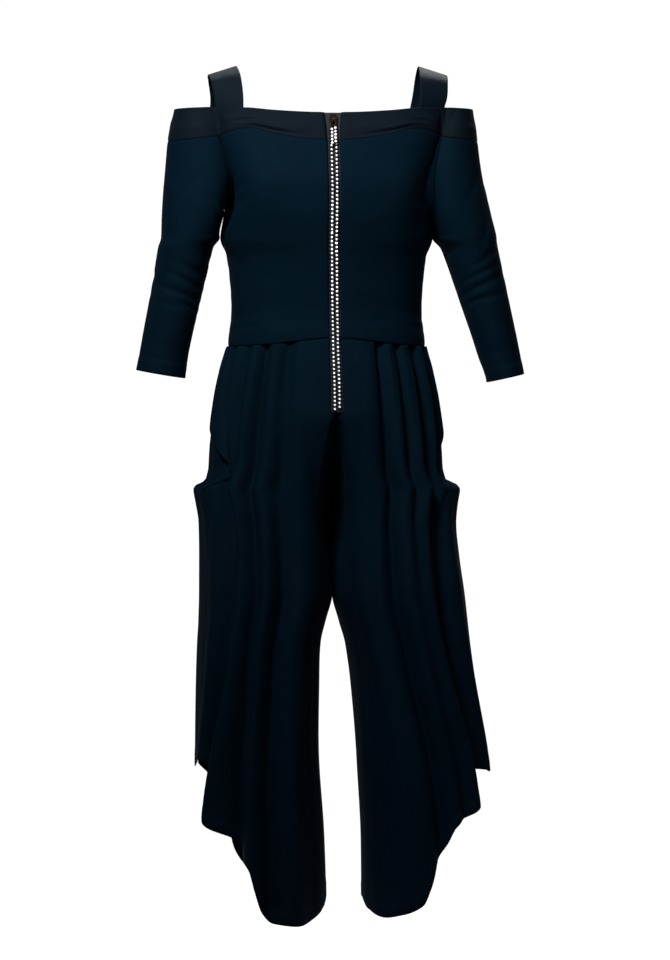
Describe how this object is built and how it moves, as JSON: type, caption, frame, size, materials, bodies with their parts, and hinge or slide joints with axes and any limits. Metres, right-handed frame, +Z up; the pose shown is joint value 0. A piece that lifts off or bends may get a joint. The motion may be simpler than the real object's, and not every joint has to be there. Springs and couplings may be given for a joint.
{
  "type": "jumpsuit",
  "caption": "Stretch-jersey jumpsuit, filled out as if worn: bare shoulders under two straps, front zip, fitted sleeves, pleated loose legs with uneven hems.",
  "frame": {"origin": "midway between the two straps, at the height where they lie on the shoulders", "axes": "+Z up, the front faces -Y, +X towards the wearer's left"},
  "size_m": [0.6073, 0.2727, 1.3397],
  "materials": {
    "jersey": "smooth stretch jersey with a slight sheen, blue-black",
    "tape": "matt woven zip tape, black",
    "stones": "clear faceted stones set in a dark chain",
    "gunmetal": "polished dark metal"
  },
  "bodies": {
    "root": {"bodice_front_left": "jersey", "bodice_front_right": "jersey", "bodice_back": "jersey", "sleeve_left": "jersey", "sleeve_right": "jersey", "band_left": "jersey", "band_right": "jersey", "strap_left": "jersey", "strap_right": "jersey", "trouser_front_left": "jersey", "trouser_front_right": "jersey", "trouser_back_left": "jersey", "trouser_back_right": "jersey", "hip_panel_left": "jersey", "hip_panel_right": "jersey", "zip_tape_left": "tape", "zip_tape_right": "tape", "zip_teeth_left": "stones", "zip_teeth_right": "stones", "zip_slider": "gunmetal"},
    "pull_tab": {"zip_pull": "gunmetal"}
  },
  "joints": [
    {"name": "pull_hinge", "type": "hinge", "parent": "root", "child": "pull_tab", "pos_m": [0, -0.10236, -0.088], "axis": [-1, 0, 0], "range_deg": [0, 170]}
  ]
}
